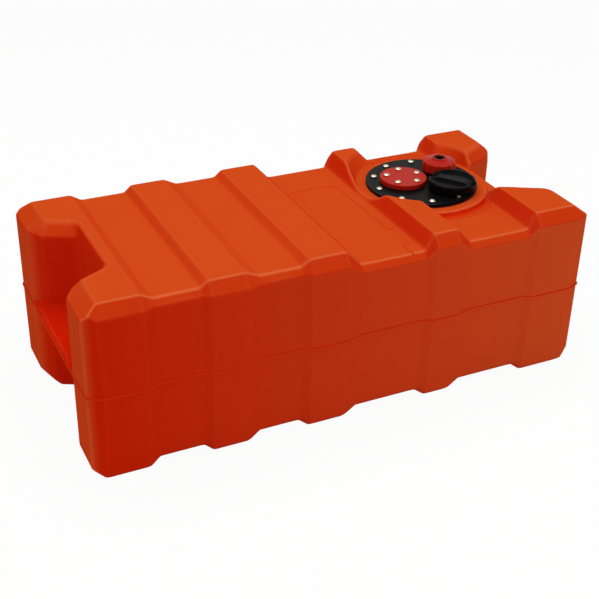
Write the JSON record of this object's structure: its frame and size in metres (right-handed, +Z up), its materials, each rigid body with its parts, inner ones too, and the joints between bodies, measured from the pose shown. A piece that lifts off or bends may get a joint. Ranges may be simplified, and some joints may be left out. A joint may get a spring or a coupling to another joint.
{
  "type": "plastic fuel tank",
  "caption": "Long orange moulded fuel tank with raised bands, hand grips in both ends and a bolted flange that carries a screw cap, a blanked sender port and a fuel outlet.",
  "frame": {"origin": "centre of the tank's footprint, on the plane its feet stand on", "axes": "+X along the tank towards the fittings flange, +Y across it towards the far side in the picture, +Z up"},
  "size_m": [0.8, 0.3664, 0.2842],
  "materials": {
    "orange_polyethylene": "satin",
    "black_nylon": "satin",
    "red_nylon": "satin",
    "nitrile_rubber": "matte",
    "stainless_steel": "polished",
    "turned_brass": "satin",
    "natural_nylon": "satin",
    "milky_polyethylene": "satin"
  },
  "bodies": {
    "root": {"tank_shell": "orange_polyethylene", "flange_gasket": "nitrile_rubber", "flange_plate": "black_nylon", "flange_insert_1": "turned_brass", "flange_insert_2": "turned_brass", "flange_insert_3": "turned_brass", "flange_insert_4": "turned_brass", "flange_insert_5": "turned_brass", "flange_insert_6": "turned_brass", "flange_insert_7": "turned_brass", "flange_insert_8": "turned_brass", "flange_insert_9": "turned_brass", "flange_insert_10": "turned_brass", "flange_screw_1": "stainless_steel", "flange_screw_2": "stainless_steel", "flange_screw_3": "stainless_steel", "flange_screw_4": "stainless_steel", "flange_screw_5": "stainless_steel", "flange_screw_6": "stainless_steel", "flange_screw_7": "stainless_steel", "flange_screw_8": "stainless_steel", "flange_screw_9": "stainless_steel", "flange_screw_10": "stainless_steel", "port_gasket": "nitrile_rubber", "port_cover": "red_nylon", "port_insert_1": "turned_brass", "port_insert_2": "turned_brass", "port_insert_3": "turned_brass", "port_insert_4": "turned_brass", "port_insert_5": "turned_brass", "port_screw_1": "stainless_steel", "port_screw_2": "stainless_steel", "port_screw_3": "stainless_steel", "port_screw_4": "stainless_steel", "port_screw_5": "stainless_steel", "outlet_seal": "nitrile_rubber", "outlet_body": "black_nylon", "dip_tube": "milky_polyethylene", "strainer_cage": "black_nylon", "strainer_screen": "natural_nylon"},
    "filler_seal": {"filler_cap_seal": "nitrile_rubber"},
    "filler_cap": {"filler_cap": "black_nylon", "cap_inner_disc": "natural_nylon", "cap_vent_valve": "nitrile_rubber"},
    "outlet_washer": {"outlet_slip_washer": "natural_nylon"},
    "ring_nut": {"outlet_ring_nut": "red_nylon"}
  },
  "joints": [
    {"name": "cap_lift", "type": "slide", "parent": "root", "child": "filler_seal", "axis": [0, 0, 1], "range_m": [0, 0.0061]},
    {"name": "cap_turn", "type": "hinge", "parent": "filler_seal", "child": "filler_cap", "pos_m": [0.2555, -0.008, 0.269], "axis": [0, 0, 1], "range_deg": [0, 540]},
    {"name": "nut_lift", "type": "slide", "parent": "root", "child": "outlet_washer", "axis": [0, 0, 1], "range_m": [0, 0.0061]},
    {"name": "nut_turn", "type": "hinge", "parent": "outlet_washer", "child": "ring_nut", "pos_m": [0.27, 0.0565, 0.275], "axis": [0, 0, 1], "range_deg": [0, 720]}
  ],
  "couplings": [
    {"joint": "cap_lift", "follows": "cap_turn", "m_per_rad": 0.00063662},
    {"joint": "nut_lift", "follows": "nut_turn", "m_per_rad": 0.00047746}
  ]
}
